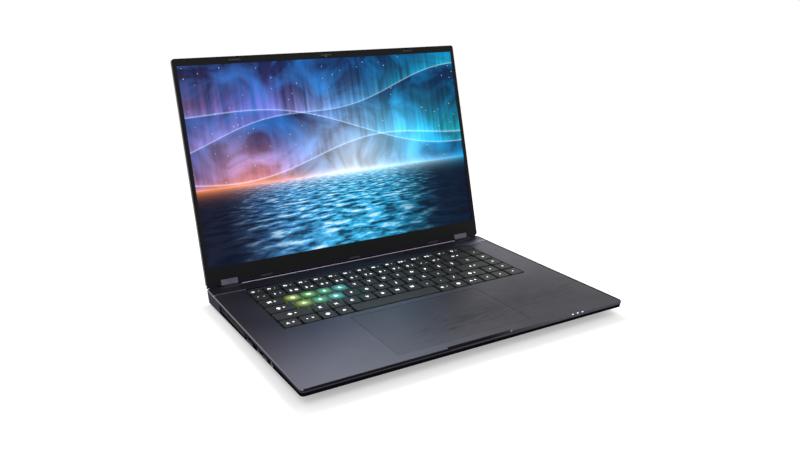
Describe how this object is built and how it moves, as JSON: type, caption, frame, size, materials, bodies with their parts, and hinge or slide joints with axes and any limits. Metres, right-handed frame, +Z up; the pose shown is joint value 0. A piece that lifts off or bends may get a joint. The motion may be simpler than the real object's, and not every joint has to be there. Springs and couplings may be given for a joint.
{
  "type": "laptop computer",
  "caption": "Open notebook computer with hinged display lid, island keyboard, touchpad, side sockets and vents, standing on rubber feet.",
  "frame": {"origin": "on the table, under the middle of the bounding box of the open computer; the middle of the base is 33.5 mm in front of it", "axes": "+X to the user's right, +Y to the back, where the lid leans, +Z up; the deck is level"},
  "size_m": [0.3574, 0.32, 0.2549],
  "materials": {
    "case_metal": "fine-blasted dark violet-grey anodised aluminium, polished bevels",
    "cover_plastic": "fine-textured black moulding",
    "steel": "zinc-plated steel",
    "rubber": "soft matt rubber",
    "keyboard_metal": "black painted sheet",
    "circuit_board": "solder-masked board with chips",
    "battery_foil": "black wrapped pouch cells",
    "fan_plastic": "black moulding",
    "copper": "bare copper",
    "speaker_plastic": "black moulding",
    "socket_metal": "nickel-plated shell",
    "socket_plastic": "black moulding",
    "grille_plastic": "black moulding",
    "light_pipe": "white light pipe, lit",
    "touchpad_glass": "satin glass in the deck's colour",
    "lid_metal": "fine-blasted dark violet-grey anodised aluminium",
    "bezel_plastic": "fine matt black moulding",
    "display_glass": "lit display with an abstract picture",
    "camera_glass": "dark glass",
    "hinge_metal": "satin violet-grey metal",
    "keycap_plastic": "dark grey-green keycaps with lit legends",
    "lit_keycap": "translucent keycaps, lit"
  },
  "bodies": {
    "base": {"top_case": "case_metal", "bottom_cover": "cover_plastic", "bottom_screws": "steel", "rubber_feet": "rubber", "keyboard_plate": "keyboard_metal", "touchpad_bracket": "steel", "mainboard": "circuit_board", "battery": "battery_foil", "fan_housings": "fan_plastic", "heat_pipes": "copper", "heat_sinks": "copper", "memory_modules": "circuit_board", "ssd": "circuit_board", "speakers": "speaker_plastic", "hinge_brackets": "steel", "hinge_pins": "steel", "ethernet_port": "socket_plastic", "usb_a_ports": "socket_metal", "usb_c_port": "socket_metal", "audio_jack": "socket_plastic", "hdmi_port": "socket_metal", "power_socket": "socket_plastic", "side_grilles": "grille_plastic", "rear_grilles": "grille_plastic", "status_lights": "light_pipe"},
    "lid": {"lid_cover": "lid_metal", "display_bezel": "bezel_plastic", "display_panel": "display_glass", "camera_module": "camera_glass", "lid_bumpers": "rubber", "hinge_arms": "hinge_metal"},
    "left_fan": {"left_fan_rotor": "fan_plastic"},
    "right_fan": {"right_fan_rotor": "fan_plastic"},
    "touchpad": {"touchpad": "touchpad_glass"},
    "power_button": {"power_button": "keycap_plastic"},
    "function_keys": {"function_keys": "keycap_plastic"},
    "number_keys": {"number_keys": "keycap_plastic"},
    "backspace_key": {"backspace_key": "keycap_plastic"},
    "tab_key": {"tab_key": "keycap_plastic"},
    "q_key": {"q_key": "lit_keycap"},
    "w_key": {"w_key": "lit_keycap"},
    "e_key": {"e_key": "lit_keycap"},
    "r_key": {"r_key": "lit_keycap"},
    "upper_letter_keys": {"upper_letter_keys": "keycap_plastic"},
    "caps_lock_key": {"caps_lock_key": "keycap_plastic"},
    "a_key": {"a_key": "lit_keycap"},
    "s_key": {"s_key": "lit_keycap"},
    "d_key": {"d_key": "lit_keycap"},
    "home_letter_keys": {"home_letter_keys": "keycap_plastic"},
    "enter_key": {"enter_key": "keycap_plastic"},
    "left_shift_key": {"left_shift_key": "keycap_plastic"},
    "lower_letter_keys": {"lower_letter_keys": "keycap_plastic"},
    "right_shift_key": {"right_shift_key": "keycap_plastic"},
    "modifier_keys": {"modifier_keys": "keycap_plastic"},
    "space_bar": {"space_bar": "keycap_plastic"},
    "side_column_keys": {"side_column_keys": "keycap_plastic"},
    "up_arrow_key": {"up_arrow_key": "keycap_plastic"},
    "left_arrow_key": {"left_arrow_key": "keycap_plastic"},
    "down_arrow_key": {"down_arrow_key": "keycap_plastic"},
    "right_arrow_key": {"right_arrow_key": "keycap_plastic"}
  },
  "joints": [
    {"name": "lid_hinge", "type": "hinge", "parent": "base", "child": "lid", "pos_m": [0, 0.08836, 0.0156], "axis": [-1, 0, 0], "range_deg": [-104.9, 25]},
    {"name": "left_fan_spin", "type": "hinge", "parent": "base", "child": "left_fan", "pos_m": [-0.10495, 0.02796, 0.011], "axis": [0, 0, 1], "continuous": true},
    {"name": "right_fan_spin", "type": "hinge", "parent": "base", "child": "right_fan", "pos_m": [0.10495, 0.02796, 0.011], "axis": [0, 0, 1], "continuous": true},
    {"name": "touchpad_click", "type": "hinge", "parent": "base", "child": "touchpad", "pos_m": [-0.0055, -0.05354, 0.016], "axis": [1, 0, 0], "range_deg": [0, 0.35], "stiffness_Nm_per_rad": 8, "springref_deg": -0.09},
    {"name": "power_press", "type": "slide", "parent": "base", "child": "power_button", "axis": [0, 0, -1], "range_m": [0, 0.0016], "stiffness_N_per_m": 100},
    {"name": "function_press", "type": "slide", "parent": "base", "child": "function_keys", "axis": [0, 0, -1], "range_m": [0, 0.0016], "stiffness_N_per_m": 1500},
    {"name": "number_press", "type": "slide", "parent": "base", "child": "number_keys", "axis": [0, 0, -1], "range_m": [0, 0.0016], "stiffness_N_per_m": 1300},
    {"name": "backspace_press", "type": "slide", "parent": "base", "child": "backspace_key", "axis": [0, 0, -1], "range_m": [0, 0.0016], "stiffness_N_per_m": 100},
    {"name": "tab_press", "type": "slide", "parent": "base", "child": "tab_key", "axis": [0, 0, -1], "range_m": [0, 0.0016], "stiffness_N_per_m": 100},
    {"name": "q_press", "type": "slide", "parent": "base", "child": "q_key", "axis": [0, 0, -1], "range_m": [0, 0.0016], "stiffness_N_per_m": 100},
    {"name": "w_press", "type": "slide", "parent": "base", "child": "w_key", "axis": [0, 0, -1], "range_m": [0, 0.0016], "stiffness_N_per_m": 100},
    {"name": "e_press", "type": "slide", "parent": "base", "child": "e_key", "axis": [0, 0, -1], "range_m": [0, 0.0016], "stiffness_N_per_m": 100},
    {"name": "r_press", "type": "slide", "parent": "base", "child": "r_key", "axis": [0, 0, -1], "range_m": [0, 0.0016], "stiffness_N_per_m": 100},
    {"name": "upper_letter_press", "type": "slide", "parent": "base", "child": "upper_letter_keys", "axis": [0, 0, -1], "range_m": [0, 0.0016], "stiffness_N_per_m": 900},
    {"name": "caps_lock_press", "type": "slide", "parent": "base", "child": "caps_lock_key", "axis": [0, 0, -1], "range_m": [0, 0.0016], "stiffness_N_per_m": 100},
    {"name": "a_press", "type": "slide", "parent": "base", "child": "a_key", "axis": [0, 0, -1], "range_m": [0, 0.0016], "stiffness_N_per_m": 100},
    {"name": "s_press", "type": "slide", "parent": "base", "child": "s_key", "axis": [0, 0, -1], "range_m": [0, 0.0016], "stiffness_N_per_m": 100},
    {"name": "d_press", "type": "slide", "parent": "base", "child": "d_key", "axis": [0, 0, -1], "range_m": [0, 0.0016], "stiffness_N_per_m": 100},
    {"name": "home_letter_press", "type": "slide", "parent": "base", "child": "home_letter_keys", "axis": [0, 0, -1], "range_m": [0, 0.0016], "stiffness_N_per_m": 800},
    {"name": "enter_press", "type": "slide", "parent": "base", "child": "enter_key", "axis": [0, 0, -1], "range_m": [0, 0.0016], "stiffness_N_per_m": 100},
    {"name": "left_shift_press", "type": "slide", "parent": "base", "child": "left_shift_key", "axis": [0, 0, -1], "range_m": [0, 0.0016], "stiffness_N_per_m": 100},
    {"name": "lower_letter_press", "type": "slide", "parent": "base", "child": "lower_letter_keys", "axis": [0, 0, -1], "range_m": [0, 0.0016], "stiffness_N_per_m": 1000},
    {"name": "right_shift_press", "type": "slide", "parent": "base", "child": "right_shift_key", "axis": [0, 0, -1], "range_m": [0, 0.0016], "stiffness_N_per_m": 100},
    {"name": "modifier_press", "type": "slide", "parent": "base", "child": "modifier_keys", "axis": [0, 0, -1], "range_m": [0, 0.0016], "stiffness_N_per_m": 700},
    {"name": "space_press", "type": "slide", "parent": "base", "child": "space_bar", "axis": [0, 0, -1], "range_m": [0, 0.0016], "stiffness_N_per_m": 200},
    {"name": "side_column_press", "type": "slide", "parent": "base", "child": "side_column_keys", "axis": [0, 0, -1], "range_m": [0, 0.0016], "stiffness_N_per_m": 400},
    {"name": "up_arrow_press", "type": "slide", "parent": "base", "child": "up_arrow_key", "axis": [0, 0, -1], "range_m": [0, 0.0016], "stiffness_N_per_m": 100},
    {"name": "left_arrow_press", "type": "slide", "parent": "base", "child": "left_arrow_key", "axis": [0, 0, -1], "range_m": [0, 0.0016], "stiffness_N_per_m": 100},
    {"name": "down_arrow_press", "type": "slide", "parent": "base", "child": "down_arrow_key", "axis": [0, 0, -1], "range_m": [0, 0.0016], "stiffness_N_per_m": 100},
    {"name": "right_arrow_press", "type": "slide", "parent": "base", "child": "right_arrow_key", "axis": [0, 0, -1], "range_m": [0, 0.0016], "stiffness_N_per_m": 100}
  ]
}
